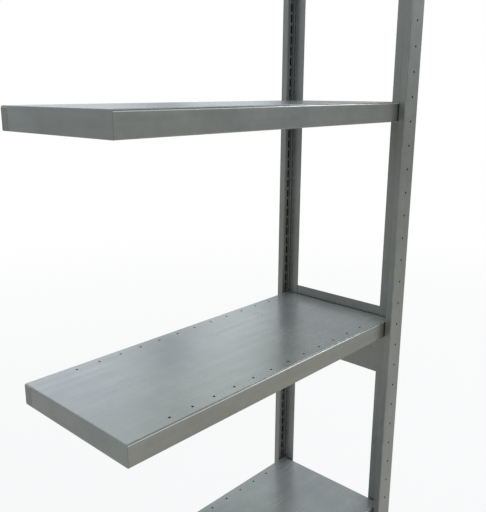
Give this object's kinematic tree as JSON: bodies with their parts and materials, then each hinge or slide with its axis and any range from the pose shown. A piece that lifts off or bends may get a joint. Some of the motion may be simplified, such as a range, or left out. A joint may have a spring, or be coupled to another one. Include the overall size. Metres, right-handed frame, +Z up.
{
  "type": "boltless steel shelving add-on bay",
  "caption": "Add-on bay of boltless steel shelving: a slotted T-section end frame with cross panels and lift-off sheet steel shelves on hook-in clips.",
  "frame": {"origin": "floor level, in the middle plane of the end frame, halfway between its front and rear faces", "axes": "+Z up, +X from the shelves towards the end frame's outer side, +Y from the front to the rear"},
  "size_m": [0.7784, 0.336, 2.0025],
  "materials": {
    "frame_galvanised": "galvanised sheet, satin",
    "deck_galvanised": "galvanised sheet, semi-gloss",
    "rail_galvanised": "galvanised sheet, satin",
    "foot_galvanised": "galvanised plate, matt",
    "zinc_plated": "bright zinc plating",
    "cap_plastic": "fine grained plastic"
  },
  "bodies": {
    "frame": {"upright_front": "frame_galvanised", "upright_rear": "frame_galvanised", "foot_front": "foot_galvanised", "foot_rear": "foot_galvanised", "cap_front": "cap_plastic", "cap_rear": "cap_plastic", "cross_panel_bottom": "frame_galvanised", "cross_panel_middle": "frame_galvanised", "cross_panel_top": "frame_galvanised", "panel_rivets_bottom": "frame_galvanised", "panel_rivets_middle": "frame_galvanised", "panel_rivets_top": "frame_galvanised", "shelf_clip_1_front": "zinc_plated", "shelf_clip_1_rear": "zinc_plated", "shelf_clip_2_front": "zinc_plated", "shelf_clip_2_rear": "zinc_plated", "shelf_clip_3_front": "zinc_plated", "shelf_clip_3_rear": "zinc_plated", "shelf_clip_4_front": "zinc_plated", "shelf_clip_4_rear": "zinc_plated", "shelf_clip_5_front": "zinc_plated", "shelf_clip_5_rear": "zinc_plated"},
    "shelf_1": {"shelf_1_deck": "deck_galvanised", "shelf_1_front_rail": "rail_galvanised", "shelf_1_rear_rail": "rail_galvanised", "shelf_1_stiffener": "rail_galvanised"},
    "shelf_2": {"shelf_2_deck": "deck_galvanised", "shelf_2_front_rail": "rail_galvanised", "shelf_2_rear_rail": "rail_galvanised", "shelf_2_stiffener": "rail_galvanised"},
    "shelf_3": {"shelf_3_deck": "deck_galvanised", "shelf_3_front_rail": "rail_galvanised", "shelf_3_rear_rail": "rail_galvanised", "shelf_3_stiffener": "rail_galvanised"},
    "shelf_4": {"shelf_4_deck": "deck_galvanised", "shelf_4_front_rail": "rail_galvanised", "shelf_4_rear_rail": "rail_galvanised", "shelf_4_stiffener": "rail_galvanised"},
    "shelf_5": {"shelf_5_deck": "deck_galvanised", "shelf_5_front_rail": "rail_galvanised", "shelf_5_rear_rail": "rail_galvanised", "shelf_5_stiffener": "rail_galvanised"}
  },
  "joints": [
    {"name": "shelf_1_lift", "type": "slide", "parent": "frame", "child": "shelf_1", "axis": [0, 0, 1], "range_m": [0, 0.4]},
    {"name": "shelf_2_lift", "type": "slide", "parent": "frame", "child": "shelf_2", "axis": [0, 0, 1], "range_m": [0, 0.4]},
    {"name": "shelf_3_lift", "type": "slide", "parent": "frame", "child": "shelf_3", "axis": [0, 0, 1], "range_m": [0, 0.4]},
    {"name": "shelf_4_lift", "type": "slide", "parent": "frame", "child": "shelf_4", "axis": [0, 0, 1], "range_m": [0, 0.4]},
    {"name": "shelf_5_lift", "type": "slide", "parent": "frame", "child": "shelf_5", "axis": [0, 0, 1], "range_m": [0, 0.4]}
  ]
}
